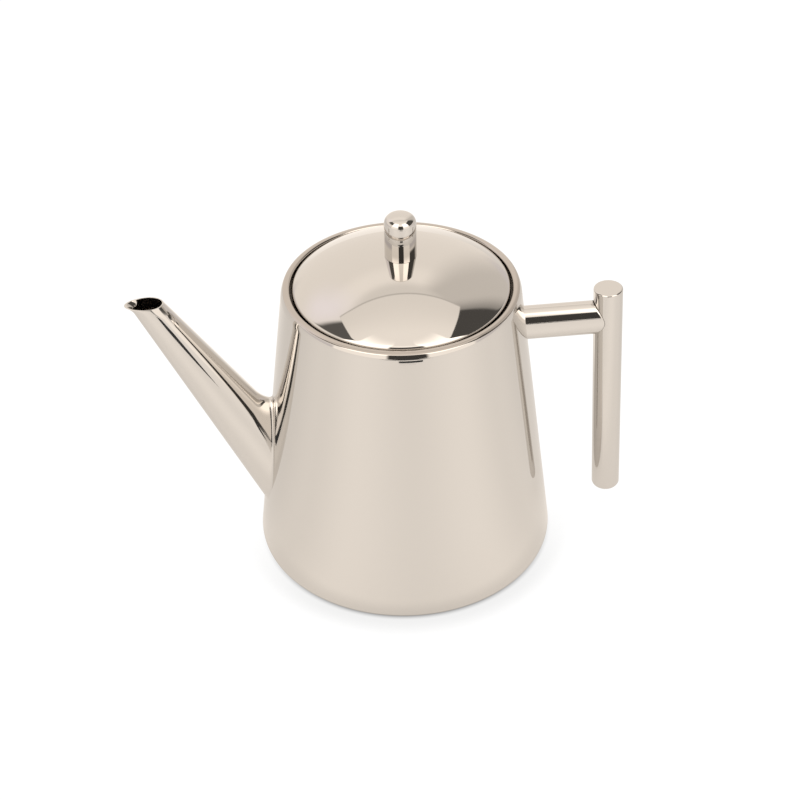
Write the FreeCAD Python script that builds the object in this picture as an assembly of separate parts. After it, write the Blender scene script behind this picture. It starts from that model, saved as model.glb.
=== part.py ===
import FreeCAD, Part
import math
import os

from FreeCAD import Rotation, Vector

# Polished steel teapot. Millimetres, +Z up, origin on the table at the pot's axis.
# The handle points along +X and the spout along -X.

# Pot
BASE_RADIUS = 65.0        # wall line produced down to the table
POT_HEIGHT = 127.0        # table to the top of the mouth
WALL_LEAN = 7.14          # degrees that the wall leans in from upright
SHEET = 0.8               # thickness of the pot's sheet
FOOT_ROUND = 1.2          # outer radius where the wall turns under
WELD_GAP = 0.05           # room left where two curved pieces are welded

# Bottom
GROOVE_RADIUS = 46.0      # middle of the pressed stiffening groove
GROOVE_WIDTH = 9.0
GROOVE_DEPTH = 1.4
GROOVE_BEND = 1.0         # rounding of the groove's edges

# Mouth ring
RING_DEPTH = 4.6          # ring's butt joint with the wall, below the mouth
SHOULDER_ROUND = 3.6      # outer rounding of the mouth
RING_WIDTH = 3.4          # wall line to the ring's inner face, at the mouth
LIP_ROUND = 1.0           # rounding of the ring's inner edge
LEDGE_DEPTH = 5.0         # top of the mouth to the ledge that carries the lid
LEDGE_WIDTH = 4.0
LEDGE_HEM = 2.4           # turned-down edge of the ledge

# Spout
SPOUT_ROOT_HEIGHT = 46.2  # spout axis at the wall
SPOUT_RISE = 60.6         # degrees of the spout axis above level
SPOUT_ROOT_HALF_HEIGHT = 14.1
SPOUT_TIP_HALF_HEIGHT = 5.9
SPOUT_ROOT_HALF_WIDTH = 12.1
SPOUT_TIP_HALF_WIDTH = 5.1
SPOUT_SHEET = 0.8
SPOUT_DROP = 0.4          # level cut of the spout, below the mouth of the pot
FLARE_RADIUS = 8.5        # curve on the upper side of the root
FLARE_FADE = 4            # power of the cosine by which it dies away down the sides
ARCH_POINTS = 12          # places on the upper half of each section
POUR_LIP_RADIUS = 7.0     # curve of the pouring lip
POUR_LIP_DEPTH = 3.5      # where the lip starts, below the cut
POUR_LIP_TRIM = 0.5       # trimmed off above the cut
MOUTH_EGG = 0.1           # how far the mouth's widest place lies back of its middle
SECTIONS = 6              # sections along each of its stretches
CUT_ROOM = 5.0            # how far cutting shapes reach past what they cut

# Strainer behind the spout
STRAINER_SHEET = 0.6
STRAINER_MARGIN = 3.0     # overlap round the opening
HOLE_DIAMETER = 2.6
HOLE_PITCH = 4.8
HOLE_EDGE = 2.4           # plain band between the holes and the opening's edge

# Handle
ARM_DROP = 24.4           # arm's axis below the mouth
ARM_DIAMETER = 14.2
ARM_LENGTH = 36.2         # wall to the bar's axis
ARM_WRAP = 2.6            # how far the arm's end reaches round the bar
TUBE_WALL = 1.0
BAR_DIAMETER = 12.3
BAR_ABOVE_ARM = 14.0
BAR_BELOW_ARM = 93.1
BAR_LEAN = 2.4            # degrees that the bar's foot stands out
CAP_THICKNESS = 2.4
CAP_ROUND = 1.5
CAP_SPIGOT = 4.0

# Lid
LID_GAP = 1.1             # round gap between the lid and the ring
LID_RISE = 14.2           # top of the dome above the mouth
LID_EDGE_STAND = 0.5      # dome produced to the lid's edge, above the mouth
LID_EDGE_ROUND = 2.2
LID_SHEET = 0.8
COLLAR_CLEARANCE = 0.5
COLLAR_DROP = 9.0         # collar below the ledge
COLLAR_SHEET = 0.8

# Knob and its fixing
KNOB_DIAMETER = 13.0
KNOB_STRAIGHT = 14.6      # straight side, from the top of the dome
KNOB_CROWN = 4.6          # height of the rounded top
KNOB_ROUND = 3.6          # rounding from the side to the crown
KNOB_BORE_DEPTH = 10.0
SCREW_DIAMETER = 5.0
SCREW_CLEARANCE = 0.15    # all round the screw, in the lid and the washer
SCREW_GRIP = 8.0          # length of screw inside the knob
SCREW_HEAD_DIAMETER = 8.6
SCREW_HEAD_HEIGHT = 2.6
SCREW_SLOT_WIDTH = 1.2
SCREW_SLOT_DEPTH = 1.2
WASHER_DIAMETER = 12.0
WASHER_SHEET = 0.8

# Worked out from the values above
LEAN = math.radians(WALL_LEAN)
SLANT_SHEET = SHEET / math.cos(LEAN)
RING_SEAM = POT_HEIGHT - RING_DEPTH
LEDGE_TOP = POT_HEIGHT - LEDGE_DEPTH
MOUTH_CUT = POT_HEIGHT - SPOUT_DROP
ARM_HEIGHT = POT_HEIGHT - ARM_DROP
LID_TOP = POT_HEIGHT + LID_RISE
FOOT_BUTT = BASE_RADIUS - FOOT_ROUND / math.tan((math.pi / 2 - LEAN) / 2)


def wall_radius(height):
    """Outer radius of the pot's wall line at a height."""
    return BASE_RADIUS - height * math.tan(LEAN)


def inner_radius(height):
    """Inner radius of the pot's wall at a height."""
    return wall_radius(height) - SLANT_SHEET


RING_INNER = wall_radius(POT_HEIGHT) - RING_WIDTH
LEDGE_INNER = RING_INNER - LEDGE_WIDTH
LID_RADIUS = RING_INNER - LID_GAP
LID_SPAN = LID_RISE - LID_EDGE_STAND
DOME_RADIUS = (LID_RADIUS ** 2 + LID_SPAN ** 2) / (2 * LID_SPAN)
DOME_CENTRE = LID_TOP - DOME_RADIUS
SCREW_HOLE = SCREW_DIAMETER / 2 + SCREW_CLEARANCE
BAR_REACH = wall_radius(ARM_HEIGHT) + ARM_LENGTH


def rounded_face(corners):
    """Face in the XZ plane from (radius, height, rounding) corners."""
    points = [Vector(r, 0, z) for r, z, _ in corners]
    ends = []
    edges = []
    for i, (_, _, rounding) in enumerate(corners):
        here = points[i]
        back = (points[i - 1] - here).normalize()
        ahead = (points[(i + 1) % len(points)] - here).normalize()
        if rounding == 0:
            ends.append((here, here))
            continue
        half = back.getAngle(ahead) / 2
        reach = rounding / math.tan(half)
        middle = (back + ahead).normalize()
        start = here + back * reach
        finish = here + ahead * reach
        crown = here + middle * (rounding / math.sin(half) - rounding)
        edges.append(Part.Arc(start, crown, finish).toShape())
        ends.append((start, finish))
    for i in range(len(points)):
        start = ends[i][1]
        finish = ends[(i + 1) % len(points)][0]
        if start.distanceToPoint(finish) > 1e-6:
            edges.append(Part.makeLine(start, finish))
    return Part.Face(Part.Wire(Part.__sortEdges__(edges)))


def turned(face):
    """Solid of a face turned once round the pot's axis."""
    return face.revolve(Vector(0, 0, 0), Vector(0, 0, 1), 360)


def pot_core():
    """Everything inside the wall's outer surface, up past the mouth."""
    below = -CUT_ROOM
    above = POT_HEIGHT + CUT_ROOM
    core = Part.makeCone(wall_radius(below), wall_radius(above), above - below)
    core.translate(Vector(0, 0, below))
    return core


def make_body_wall(bore):
    """Tapered sheet with a rounded foot, open to the spout."""
    wall = turned(rounded_face([
        (FOOT_BUTT, 0, 0),
        (BASE_RADIUS, 0, FOOT_ROUND),
        (wall_radius(RING_SEAM), RING_SEAM, 0),
        (inner_radius(RING_SEAM), RING_SEAM, 0),
        (inner_radius(SHEET), SHEET, FOOT_ROUND - SHEET),
        (FOOT_BUTT, SHEET, 0),
    ]))
    return wall.cut(bore)


def make_base_disc():
    """Flat bottom with a pressed stiffening groove."""
    half = GROOVE_WIDTH / 2
    quarter = GROOVE_WIDTH / 4
    below = [
        (0, 0, 0),
        (GROOVE_RADIUS - half, 0, GROOVE_BEND),
        (GROOVE_RADIUS - quarter, GROOVE_DEPTH, GROOVE_BEND),
        (GROOVE_RADIUS + quarter, GROOVE_DEPTH, GROOVE_BEND),
        (GROOVE_RADIUS + half, 0, GROOVE_BEND),
        (FOOT_BUTT - WELD_GAP, 0, 0),
    ]
    above = [(r, z + SHEET, rounding) for r, z, rounding in reversed(below)]
    return turned(rounded_face(below + above))


def make_mouth_ring():
    """Pressed ring: rounded shoulder, upright lip, and the ledge that carries the lid."""
    top_in = POT_HEIGHT - SHEET
    ledge_in = LEDGE_TOP - SHEET
    hem_end = LEDGE_TOP - LEDGE_HEM
    return turned(rounded_face([
        (wall_radius(RING_SEAM), RING_SEAM, 0),
        (wall_radius(POT_HEIGHT), POT_HEIGHT, SHOULDER_ROUND),
        (RING_INNER, POT_HEIGHT, LIP_ROUND),
        (RING_INNER, LEDGE_TOP, 0),
        (LEDGE_INNER, LEDGE_TOP, SHEET),
        (LEDGE_INNER, hem_end, 0),
        (LEDGE_INNER + SHEET, hem_end, 0),
        (LEDGE_INNER + SHEET, ledge_in, 0),
        (RING_INNER + SHEET, ledge_in, SHEET),
        (RING_INNER + SHEET, top_in, LIP_ROUND - SHEET),
        (inner_radius(top_in), top_in, SHOULDER_ROUND - SHEET),
        (inner_radius(RING_SEAM), RING_SEAM, 0),
    ]))


class SpoutLines:
    """Upper and lower outlines of the spout, by distance from the pot's axis, and its sections."""

    def __init__(self):
        rise = math.radians(SPOUT_RISE)
        length = (MOUTH_CUT - SPOUT_ROOT_HEIGHT) / math.sin(rise)
        self.root = wall_radius(SPOUT_ROOT_HEIGHT)
        self.tip = self.root + length * math.cos(rise)
        root_out = SPOUT_ROOT_HALF_HEIGHT * math.sin(rise)
        root_up = SPOUT_ROOT_HALF_HEIGHT * math.cos(rise)
        tip_out = SPOUT_TIP_HALF_HEIGHT * math.sin(rise)
        tip_up = SPOUT_TIP_HALF_HEIGHT * math.cos(rise)
        self.upper_start = (self.root - root_out, SPOUT_ROOT_HEIGHT + root_up)
        upper_end = (self.tip - tip_out, MOUTH_CUT + tip_up)
        self.lower_start = (self.root + root_out, SPOUT_ROOT_HEIGHT - root_up)
        lower_end = (self.tip + tip_out, MOUTH_CUT - tip_up)
        self.upper_slope = self.slope(self.upper_start, upper_end)
        self.lower_slope = self.slope(self.lower_start, lower_end)
        self.set_flare()
        self.set_foot()
        self.set_pour_lip()
        self.set_spans()

    @staticmethod
    def slope(start, end):
        """Rise of a straight outline for each millimetre outwards."""
        return (end[1] - start[1]) / (end[0] - start[0])

    def set_flare(self):
        """Arc that brings the upper outline level where it meets the wall."""
        turn = math.atan(self.upper_slope)
        reach = FLARE_RADIUS * math.sin(turn)
        rise = FLARE_RADIUS * (1 - math.cos(turn))
        axis_height = self.upper_start[1] - self.upper_slope * self.upper_start[0]
        level = axis_height + self.upper_slope * (BASE_RADIUS + reach) - rise
        self.flare_level = level / (1 + self.upper_slope * math.tan(LEAN))
        self.flare_end = wall_radius(self.flare_level)
        self.flare_start = self.flare_end + reach

    def set_foot(self):
        """Where the lower outline meets the wall."""
        lead = self.lower_start[0] - self.lower_start[1] / self.lower_slope
        self.foot_level = (BASE_RADIUS - lead) / (1 / self.lower_slope + math.tan(LEAN))
        self.foot_end = wall_radius(self.foot_level)

    def set_pour_lip(self):
        """Arc that leads the lower outline out into the lip."""
        turn = math.atan(self.lower_slope)
        start_height = MOUTH_CUT - POUR_LIP_DEPTH
        self.lip_start = self.lower_start[0] + (start_height - self.lower_start[1]) / self.lower_slope
        self.lip_centre = self.lip_start + POUR_LIP_RADIUS * math.sin(turn)
        self.lip_base = start_height - POUR_LIP_RADIUS * math.cos(turn)

    def set_spans(self):
        """Both outlines run from inside the wall to above the cut."""
        back_top = MOUTH_CUT + CUT_ROOM
        front_top = MOUTH_CUT + POUR_LIP_TRIM
        back = self.upper_start[0] + (back_top - self.upper_start[1]) / self.upper_slope
        front = self.lip_centre - math.sqrt(POUR_LIP_RADIUS ** 2 - (front_top - self.lip_base) ** 2)
        self.upper_span = (self.flare_end - CUT_ROOM, back)
        self.lower_span = (self.foot_end - CUT_ROOM, front)

    def upper(self, out):
        """Height of the upper outline without its flare, the flare's lift and the slope with it."""
        straight = self.upper_start[1] + self.upper_slope * (out - self.upper_start[0])
        if out >= self.flare_start:
            return straight, 0, self.upper_slope
        along = max(out - self.flare_end, 0)
        drop = math.sqrt(FLARE_RADIUS ** 2 - along ** 2)
        return straight, self.flare_level + FLARE_RADIUS - drop - straight, along / drop

    def lower(self, out):
        """Height and slope of the lower outline."""
        if out <= self.lip_start:
            return self.lower_start[1] + self.lower_slope * (out - self.lower_start[0]), self.lower_slope
        along = out - self.lip_centre
        drop = math.sqrt(POUR_LIP_RADIUS ** 2 - along ** 2)
        return self.lip_base + drop, -along / drop

    def half_width(self, out):
        """Half of the spout's width."""
        share = (out - self.root) / (self.tip - self.root)
        return SPOUT_ROOT_HALF_WIDTH + share * (SPOUT_TIP_HALF_WIDTH - SPOUT_ROOT_HALF_WIDTH)

    def section(self, share, inset):
        """Outline across the spout, a share of the way up, set in by a sheet's thickness."""
        out_up = self.upper_span[0] + share * (self.upper_span[1] - self.upper_span[0])
        out_low = self.lower_span[0] + share * (self.lower_span[1] - self.lower_span[0])
        top, lift, top_slope = self.upper(out_up)
        bottom, bottom_slope = self.lower(out_low)
        peak = Vector(-out_up, 0, top + lift - inset * math.hypot(1, top_slope))
        foot = Vector(-out_low, 0, bottom + inset * math.hypot(1, bottom_slope))
        flare = (peak - foot) * (lift / (peak.z - foot.z))
        crest = peak - flare
        widest = crest + (foot - crest) * (0.5 - MOUTH_EGG * share ** 2)
        half_width = math.sqrt(self.half_width(out_up) * self.half_width(out_low)) - inset
        side = widest + Vector(0, half_width, 0)
        under = Part.ArcOfEllipse(Part.Ellipse(foot, side, widest), -math.pi / 2, math.pi / 2)
        angles = [math.pi * (k / ARCH_POINTS - 0.5) for k in range(ARCH_POINTS + 1)]
        points = []
        for angle in angles:
            bend = math.cos(angle)
            across = Vector(0, half_width * math.sin(angle), 0)
            points.append(widest + (crest - widest) * bend + flare * bend ** FLARE_FADE + across)
        arch = Part.BSplineCurve()
        arch.interpolate(Points=points, Parameters=angles, InitialTangent=crest - widest,
                         FinalTangent=widest - crest, Scale=False)
        return Part.Wire([arch.toShape(), under.toShape()])

    def shares(self):
        """Places of the sections, closer where an outline curves."""
        upper_length = self.upper_span[1] - self.upper_span[0]
        lower_length = self.lower_span[1] - self.lower_span[0]
        marks = [
            0,
            (self.flare_end - self.upper_span[0]) / upper_length,
            (self.flare_start - self.upper_span[0]) / upper_length,
            (self.lip_start - self.lower_span[0]) / lower_length,
            1,
        ]
        found = [0]
        for start, end in zip(marks, marks[1:]):
            found += [start + (end - start) * i / SECTIONS for i in range(1, SECTIONS + 1)]
        return found

    def solid(self, inset):
        """Spout filled to its surface, set in by a sheet's thickness."""
        return Part.makeLoft([self.section(share, inset) for share in self.shares()], True, False)


def make_spout(lines):
    """Tapered oval tube that stands on the wall and is cut level at the mouth."""
    room = 2 * BASE_RADIUS
    above = Part.makeBox(2 * room, room, room, Vector(-2 * room, -room / 2, MOUTH_CUT))
    tube = lines.solid(0).cut(lines.solid(SPOUT_SHEET))
    return tube.cut(pot_core()).cut(above)


def make_spout_strainer(lines):
    """Perforated plate that lies against the inside of the wall, behind the spout."""
    middle = (lines.foot_level + lines.flare_level) / 2
    half_height = (lines.flare_level - lines.foot_level) / 2
    half_width = lines.half_width(lines.root)
    low = middle - half_height - STRAINER_MARGIN
    high = middle + half_height + STRAINER_MARGIN
    outer = WELD_GAP
    inner = WELD_GAP + STRAINER_SHEET
    shell = turned(rounded_face([
        (inner_radius(low) - outer, low, 0),
        (inner_radius(high) - outer, high, 0),
        (inner_radius(high) - inner, high, 0),
        (inner_radius(low) - inner, low, 0),
    ]))
    peak = Vector(0, 0, high)
    side = Vector(0, half_width + STRAINER_MARGIN, middle)
    oval = Part.Ellipse(peak, side, Vector(0, 0, middle)).toShape()
    reach = Vector(-2 * BASE_RADIUS, 0, 0)
    plate = shell.common(Part.Face(Part.Wire(oval)).extrude(reach))
    row_pitch = HOLE_PITCH * math.sqrt(3) / 2
    rows = int(half_height / row_pitch)
    columns = int(half_width / HOLE_PITCH) + 1
    drills = []
    for row in range(-rows, rows + 1):
        for column in range(-columns, columns + 1):
            across = (column + 0.5 * (row % 2)) * HOLE_PITCH
            up = row * row_pitch
            inside = math.hypot(across / (half_width - HOLE_EDGE), up / (half_height - HOLE_EDGE))
            if inside <= 1:
                start = Vector(0, across, middle + up)
                drills.append(Part.makeCylinder(HOLE_DIAMETER / 2, 2 * BASE_RADIUS, start, reach))
    return plate.cut(drills)


def place_on_bar(shape):
    """Moves a piece built on the bar's own axis, from the arm's height, to its place."""
    turn = Rotation(Vector(0, 1, 0), -BAR_LEAN)
    place = FreeCAD.Placement(Vector(BAR_REACH, 0, ARM_HEIGHT), turn)
    shape.Placement = place.multiply(shape.Placement)
    return shape


def make_handle_bar():
    """Open tube between the two caps."""
    low = -BAR_BELOW_ARM + CAP_THICKNESS
    length = BAR_ABOVE_ARM + BAR_BELOW_ARM - 2 * CAP_THICKNESS
    start = Vector(0, 0, low)
    outer = Part.makeCylinder(BAR_DIAMETER / 2, length, start)
    inner = Part.makeCylinder(BAR_DIAMETER / 2 - TUBE_WALL, length, start)
    return place_on_bar(outer.cut(inner))


def make_handle_cap(height, outward):
    """Rounded plug whose spigot stands in the bar's end."""
    radius = BAR_DIAMETER / 2
    spigot = radius - TUBE_WALL - WELD_GAP
    cap = turned(rounded_face([
        (0, CAP_THICKNESS, 0),
        (radius, CAP_THICKNESS, CAP_ROUND),
        (radius, 0, 0),
        (spigot, 0, 0),
        (spigot, -CAP_SPIGOT, 0),
        (0, -CAP_SPIGOT, 0),
    ]))
    if outward < 0:
        cap.rotate(Vector(0, 0, 0), Vector(1, 0, 0), 180)
    cap.translate(Vector(0, 0, height - outward * CAP_THICKNESS))
    return place_on_bar(cap)


def make_handle_arm():
    """Level tube, scribed to the wall at one end and round the bar at the other."""
    end = BAR_REACH - BAR_DIAMETER / 2 + ARM_WRAP
    outer = Part.makeCylinder(ARM_DIAMETER / 2, end, Vector(0, 0, ARM_HEIGHT), Vector(1, 0, 0))
    inner = Part.makeCylinder(ARM_DIAMETER / 2 - TUBE_WALL, end, Vector(0, 0, ARM_HEIGHT), Vector(1, 0, 0))
    reach = ARM_DIAMETER
    bar = Part.makeCylinder(BAR_DIAMETER / 2, 2 * reach, Vector(0, 0, -reach))
    return outer.cut(inner).cut(pot_core()).cut(place_on_bar(bar))


def dome_height(radius, sheet):
    """Height of the dome's surface, set in by a sheet's thickness."""
    return DOME_CENTRE + math.sqrt((DOME_RADIUS - sheet) ** 2 - radius ** 2)


def dome_arc(start, end, sheet):
    """Arc of the dome between two radii."""
    middle = (start + end) / 2
    points = [Vector(r, 0, dome_height(r, sheet)) for r in (start, middle, end)]
    return Part.Arc(*points).toShape()


def lid_edge(sheet):
    """Rounding from the dome to the skirt: its first, middle and last points."""
    rounding = LID_EDGE_ROUND - sheet
    centre_out = LID_RADIUS - LID_EDGE_ROUND
    centre_up = DOME_CENTRE + math.sqrt((DOME_RADIUS - LID_EDGE_ROUND) ** 2 - centre_out ** 2)
    first = math.atan2(centre_up - DOME_CENTRE, centre_out)
    return [
        Vector(centre_out + rounding * math.cos(a), 0, centre_up + rounding * math.sin(a))
        for a in (first, first / 2, 0)
    ]


def make_lid_dome():
    """Pressed dome whose turned-down edge stands on the ledge."""
    outer = lid_edge(0)
    inner = lid_edge(LID_SHEET)
    foot_out = Vector(LID_RADIUS, 0, LEDGE_TOP)
    foot_in = Vector(LID_RADIUS - LID_SHEET, 0, LEDGE_TOP)
    top_out = Vector(SCREW_HOLE, 0, dome_height(SCREW_HOLE, 0))
    top_in = Vector(SCREW_HOLE, 0, dome_height(SCREW_HOLE, LID_SHEET))
    edges = [
        dome_arc(SCREW_HOLE, outer[0].x, 0),
        Part.Arc(*outer).toShape(),
        Part.makeLine(outer[2], foot_out),
        Part.makeLine(foot_out, foot_in),
        Part.makeLine(foot_in, inner[2]),
        Part.Arc(*inner).toShape(),
        dome_arc(SCREW_HOLE, inner[0].x, LID_SHEET),
        Part.makeLine(top_in, top_out),
    ]
    return turned(Part.Face(Part.Wire(Part.__sortEdges__(edges))))


def make_lid_collar():
    """Ring under the dome that stands inside the ledge."""
    outer = LEDGE_INNER - COLLAR_CLEARANCE
    inner = outer - COLLAR_SHEET
    low = LEDGE_TOP - COLLAR_DROP
    under = LID_SHEET + WELD_GAP
    corners = [
        Vector(inner, 0, dome_height(inner, under)),
        Vector(inner, 0, low),
        Vector(outer, 0, low),
        Vector(outer, 0, dome_height(outer, under)),
    ]
    edges = [Part.makeLine(corners[i], corners[i + 1]) for i in range(3)]
    edges.append(dome_arc(inner, outer, under))
    return turned(Part.Face(Part.Wire(Part.__sortEdges__(edges))))


def make_lid_knob():
    """Bullet-shaped knob that sits on the dome, bored for its screw."""
    radius = KNOB_DIAMETER / 2
    shoulder = LID_TOP + KNOB_STRAIGHT
    centre_out = radius - KNOB_ROUND
    spare = KNOB_CROWN - KNOB_ROUND
    crown_radius = (centre_out ** 2 + KNOB_CROWN ** 2 - KNOB_ROUND ** 2) / (2 * spare)
    crown_centre = shoulder + KNOB_CROWN - crown_radius
    join = math.atan2(shoulder - crown_centre, centre_out)
    round_points = [
        Vector(centre_out + KNOB_ROUND * math.cos(a), 0, shoulder + KNOB_ROUND * math.sin(a))
        for a in (0, join / 2, join)
    ]
    crown_points = [
        Vector(crown_radius * math.cos(a), 0, crown_centre + crown_radius * math.sin(a))
        for a in (join, (join + math.pi / 2) / 2, math.pi / 2)
    ]
    foot = Vector(radius, 0, dome_height(radius, -WELD_GAP))
    seat = Vector(0, 0, dome_height(0, -WELD_GAP))
    edges = [
        dome_arc(0, radius, -WELD_GAP),
        Part.makeLine(foot, round_points[0]),
        Part.Arc(*round_points).toShape(),
        Part.Arc(*crown_points).toShape(),
        Part.makeLine(crown_points[2], seat),
    ]
    knob = turned(Part.Face(Part.Wire(Part.__sortEdges__(edges))))
    start = Vector(0, 0, LID_TOP - LID_SHEET)
    bore = Part.makeCylinder(SCREW_DIAMETER / 2 + WELD_GAP, KNOB_BORE_DEPTH + LID_SHEET, start)
    return knob.cut(bore)


def washer_top():
    """Height where the washer's edge meets the inside of the dome."""
    return dome_height(WASHER_DIAMETER / 2, LID_SHEET)


def make_knob_washer():
    """Flat washer under the dome."""
    start = Vector(0, 0, washer_top() - WASHER_SHEET)
    disc = Part.makeCylinder(WASHER_DIAMETER / 2, WASHER_SHEET, start)
    return disc.cut(Part.makeCylinder(SCREW_HOLE, WASHER_SHEET, start))


def make_knob_screw():
    """Slotted screw up through the washer and the dome into the knob."""
    head_top = washer_top() - WASHER_SHEET
    radius = SCREW_HEAD_DIAMETER / 2
    shank = SCREW_DIAMETER / 2
    screw = turned(rounded_face([
        (0, LID_TOP + SCREW_GRIP, 0),
        (shank, LID_TOP + SCREW_GRIP, 0),
        (shank, head_top, 0),
        (radius, head_top, 0),
        (radius, head_top - SCREW_HEAD_HEIGHT, SCREW_HEAD_HEIGHT / 2),
        (0, head_top - SCREW_HEAD_HEIGHT, 0),
    ]))
    slot_corner = Vector(-radius, -SCREW_SLOT_WIDTH / 2, head_top - SCREW_HEAD_HEIGHT)
    return screw.cut(Part.makeBox(2 * radius, SCREW_SLOT_WIDTH, SCREW_SLOT_DEPTH, slot_corner))


def build():
    """All pieces by name."""
    lines = SpoutLines()
    return {
        "body_wall": make_body_wall(lines.solid(SPOUT_SHEET)),
        "base_disc": make_base_disc(),
        "mouth_ring": make_mouth_ring(),
        "spout": make_spout(lines),
        "spout_strainer": make_spout_strainer(lines),
        "handle_arm": make_handle_arm(),
        "handle_bar": make_handle_bar(),
        "handle_top_cap": make_handle_cap(BAR_ABOVE_ARM, 1),
        "handle_bottom_cap": make_handle_cap(-BAR_BELOW_ARM, -1),
        "lid_dome": make_lid_dome(),
        "lid_collar": make_lid_collar(),
        "lid_knob": make_lid_knob(),
        "knob_washer": make_knob_washer(),
        "knob_screw": make_knob_screw(),
    }


os.makedirs("parts", exist_ok=True)
for name, shape in build().items():
    shape.exportStep(f"parts/{name}.step")
    print(f"{name}: {len(shape.Solids)} solid, {shape.Volume:.0f} mm3, valid {shape.isValid()}")
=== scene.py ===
import logging
from dataclasses import dataclass, field
from enum import Enum
from math import atan, atan2, ceil, copysign, cos, degrees, hypot, pi, radians, sin, sqrt, tan
from typing import Callable

import bmesh
import bpy
from mathutils import Matrix, Vector

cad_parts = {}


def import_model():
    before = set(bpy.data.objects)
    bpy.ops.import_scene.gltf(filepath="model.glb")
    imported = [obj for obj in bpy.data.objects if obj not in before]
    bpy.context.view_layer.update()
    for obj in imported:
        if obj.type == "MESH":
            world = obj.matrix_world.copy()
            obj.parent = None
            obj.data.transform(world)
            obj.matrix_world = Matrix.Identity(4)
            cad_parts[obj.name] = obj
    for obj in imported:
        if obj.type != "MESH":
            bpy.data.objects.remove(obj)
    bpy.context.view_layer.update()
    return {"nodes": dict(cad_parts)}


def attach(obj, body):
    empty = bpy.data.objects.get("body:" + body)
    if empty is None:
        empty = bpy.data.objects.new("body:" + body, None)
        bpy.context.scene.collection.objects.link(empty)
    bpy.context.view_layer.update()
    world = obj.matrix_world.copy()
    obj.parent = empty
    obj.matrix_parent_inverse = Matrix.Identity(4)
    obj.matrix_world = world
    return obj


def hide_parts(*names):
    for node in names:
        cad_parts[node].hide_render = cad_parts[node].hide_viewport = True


# Looks of a polished steel teapot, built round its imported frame.
# The teapot's sizes are in millimetres and become metres where a mesh is made.
# +Z is up, the handle points along +X and the spout along -X.

LOG = logging.getLogger("teapot")
MM = 0.001
SHARP_ANGLE = radians(32)
TINY = 1e-6
HALVINGS = 50
WHITE = (1.0, 1.0, 1.0, 1.0)

Point = tuple[float, float]
Triple = tuple[float, float, float]
Mesh = bmesh.types.BMesh
Ring = list[bmesh.types.BMVert]
Piece = bpy.types.Object
Material = bpy.types.Material
Socket = bpy.types.NodeSocket
Tree = bpy.types.NodeTree


class Body(Enum):
    """The two moving bodies of the frame."""

    POT = "pot"
    LID = "lid"


class Slot(Enum):
    """Material slots of the record."""

    POLISHED = "polished_steel"
    SATIN = "satin_steel"


# Meshes


def crossing(low: float, high: float, holds: Callable[[float], bool]) -> float:
    """Narrows down where something stops holding.

    Args:
        low: Place where it holds.
        high: Place where it doesn't.
        holds: Says whether it holds at a place.

    Returns:
        The place between.
    """
    for _ in range(HALVINGS):
        middle = (low + high) / 2
        low, high = (middle, high) if holds(middle) else (low, middle)
    return (low + high) / 2


def angles_round(count: int) -> list[float]:
    """Angles of equal steps once round."""
    return [2 * pi * k / count for k in range(count)]


def arc_points(centre: Point, radius: float, start: float, end: float, step: float = 5.0) -> list[Point]:
    """Points along an arc.

    Args:
        centre: Middle of the arc.
        radius: Its radius.
        start: First angle in radians.
        end: Last angle in radians.
        step: Largest step in degrees.

    Returns:
        Points from the first angle to the last.
    """
    count = max(2, ceil(abs(degrees(end - start)) / step))
    angles = [start + (end - start) * i / count for i in range(count + 1)]
    return [(centre[0] + radius * cos(a), centre[1] + radius * sin(a)) for a in angles]


def with_support(line: list[Point], closed: bool, room: float = 0.15) -> list[Point]:
    """Adds a point close to each end of every longer run, so that shading stays true along it.

    Args:
        line: Points of an outline.
        closed: Whether the last point joins the first.
        room: Distance of the added points from the ends.

    Returns:
        The outline with the added points.
    """
    found: list[Point] = []
    for (r, z), after in zip(line, line[1:] + (line[:1] if closed else [])):
        found.append((r, z))
        length = hypot(after[0] - r, after[1] - z)
        if length > 4 * room:
            for share in (room / length, 1 - room / length):
                found.append((r + (after[0] - r) * share, z + (after[1] - z) * share))
    return found if closed else found + line[-1:]


def rounded_outline(corners: list[Triple], step: float = 9.0) -> list[Point]:
    """Closed outline with rounded corners.

    Args:
        corners: Radius, height and rounding of each corner.
        step: Largest step round a corner in degrees.

    Returns:
        Points of the outline.
    """
    places = [Vector((r, z)) for r, z, _ in corners]
    line: list[Point] = []
    for i, (r, z, rounding) in enumerate(corners):
        if rounding == 0:
            line.append((r, z))
            continue
        here = places[i]
        back = (places[i - 1] - here).normalized()
        ahead = (places[(i + 1) % len(places)] - here).normalized()
        half = back.angle(ahead) / 2
        centre = here + (back + ahead).normalized() * (rounding / sin(half))
        first, last = (here + way * (rounding / tan(half)) - centre for way in (back, ahead))
        start = atan2(first.y, first.x)
        turn = atan2(last.y, last.x) - start
        turn = (turn + pi) % (2 * pi) - pi
        line += arc_points((centre.x, centre.y), rounding, start, start + turn, step)
    return with_support(line, True)


def new_object(name: str, data: bpy.types.ID) -> Piece:
    """Makes an object of some data, in the scene."""
    made = bpy.data.objects.new(name, data)
    bpy.context.scene.collection.objects.link(made)
    return made


def add_piece(name: str, bm: Mesh) -> Piece:
    """Makes an object of a mesh in millimetres, smooth but for its sharp edges.

    Args:
        name: Name of the piece.
        bm: The mesh, which is freed.

    Returns:
        The new object, in the scene.
    """
    bmesh.ops.recalc_face_normals(bm, faces=bm.faces)
    bmesh.ops.scale(bm, vec=(MM, MM, MM), verts=bm.verts)
    for face in bm.faces:
        face.smooth = True
    for edge in bm.edges:
        edge.smooth = not (edge.is_manifold and edge.calc_face_angle() > SHARP_ANGLE)
    mesh = bpy.data.meshes.new(name)
    bm.to_mesh(mesh)
    bm.free()
    return new_object(name, mesh)


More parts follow.
